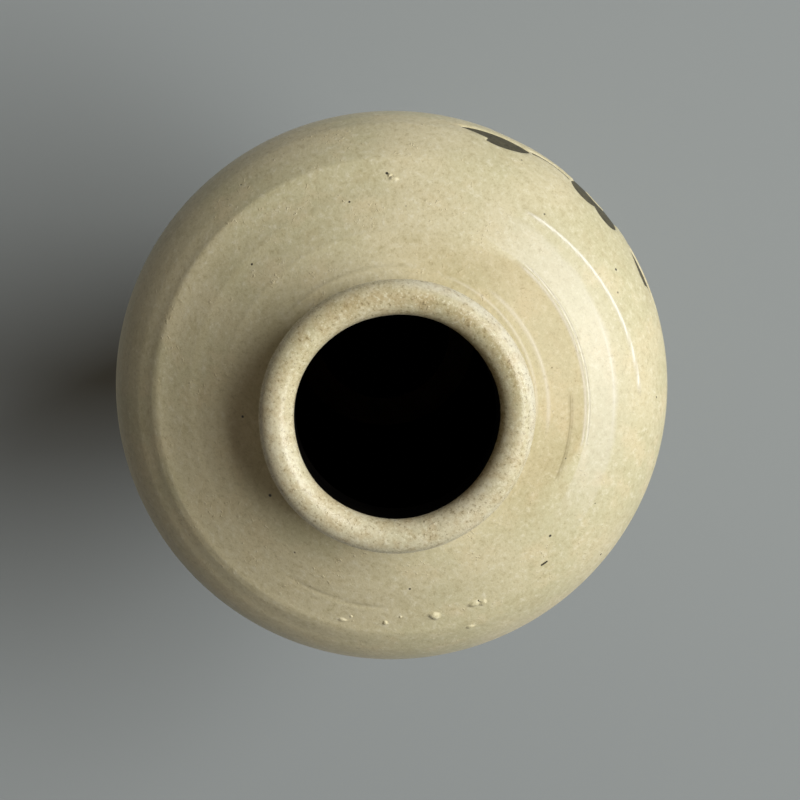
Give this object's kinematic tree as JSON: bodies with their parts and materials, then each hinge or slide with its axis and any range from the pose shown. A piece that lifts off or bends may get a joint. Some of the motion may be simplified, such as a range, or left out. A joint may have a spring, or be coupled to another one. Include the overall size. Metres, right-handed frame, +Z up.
{
  "type": "meiping vase",
  "caption": "Small thrown meiping vase with a high shoulder, short neck and rolled lip, pale mottled glaze outside, dark glaze inside and a spray of dark slip set into cut-outs in the coat.",
  "frame": {"origin": "middle of the foot ring's resting plane, on the axis of the vase", "axes": "+Z up along the axis of turning; -Y is the front, the side with the spray, which the picture shows"},
  "size_m": [0.1141, 0.114, 0.1829],
  "materials": {
    "clay": "matte, bare fired stoneware",
    "luting_slip": "matte, fired in the joint",
    "pale_glaze": "satin, finely mottled",
    "dark_glaze": "satin",
    "dark_slip": "matte to satin",
    "grit": "rough, fused into the glaze"
  },
  "bodies": {
    "root": {"foot_section": "clay", "shoulder_section": "clay", "neck_ring": "clay", "belly_slip_joint": "luting_slip", "neck_slip_joint": "luting_slip", "outer_glaze": "pale_glaze", "inner_glaze": "dark_glaze", "front_blossom": "dark_slip", "front_flower": "dark_slip", "front_leaves": "dark_slip", "front_stem": "dark_slip", "kiln_grit": "grit"}
  },
  "joints": []
}
